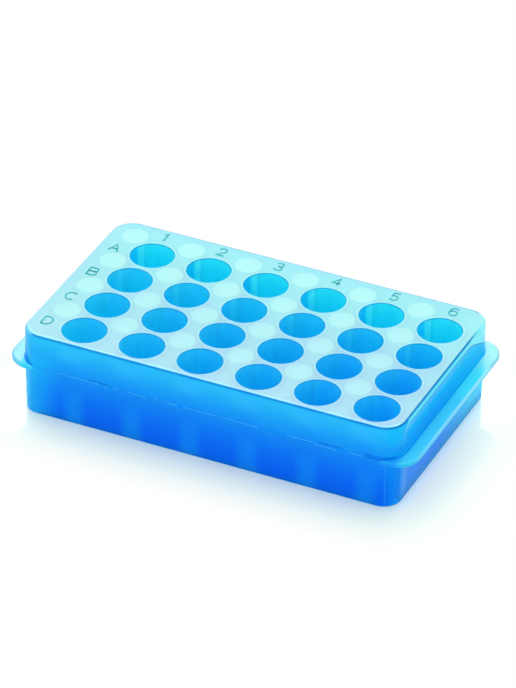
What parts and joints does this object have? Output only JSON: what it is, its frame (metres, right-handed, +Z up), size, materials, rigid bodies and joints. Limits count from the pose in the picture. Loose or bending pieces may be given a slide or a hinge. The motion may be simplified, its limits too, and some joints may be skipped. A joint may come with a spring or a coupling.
{
  "type": "microcentrifuge tube rack",
  "caption": "Low one-piece moulded rack with a grid of blind wells for microcentrifuge tubes, a grip tab at each end and smaller sockets underneath.",
  "frame": {"origin": "under the middle of the flange, on the surface that the rack stands on", "axes": "+X along a row from column 1 to column 6, +Y from the front row D to the back row A, +Z up, out of the wells"},
  "size_m": [0.1072, 0.0588, 0.0223],
  "materials": {
    "polypropylene": "gloss"
  },
  "bodies": {
    "root": {"tube_rack": "polypropylene"}
  },
  "joints": []
}
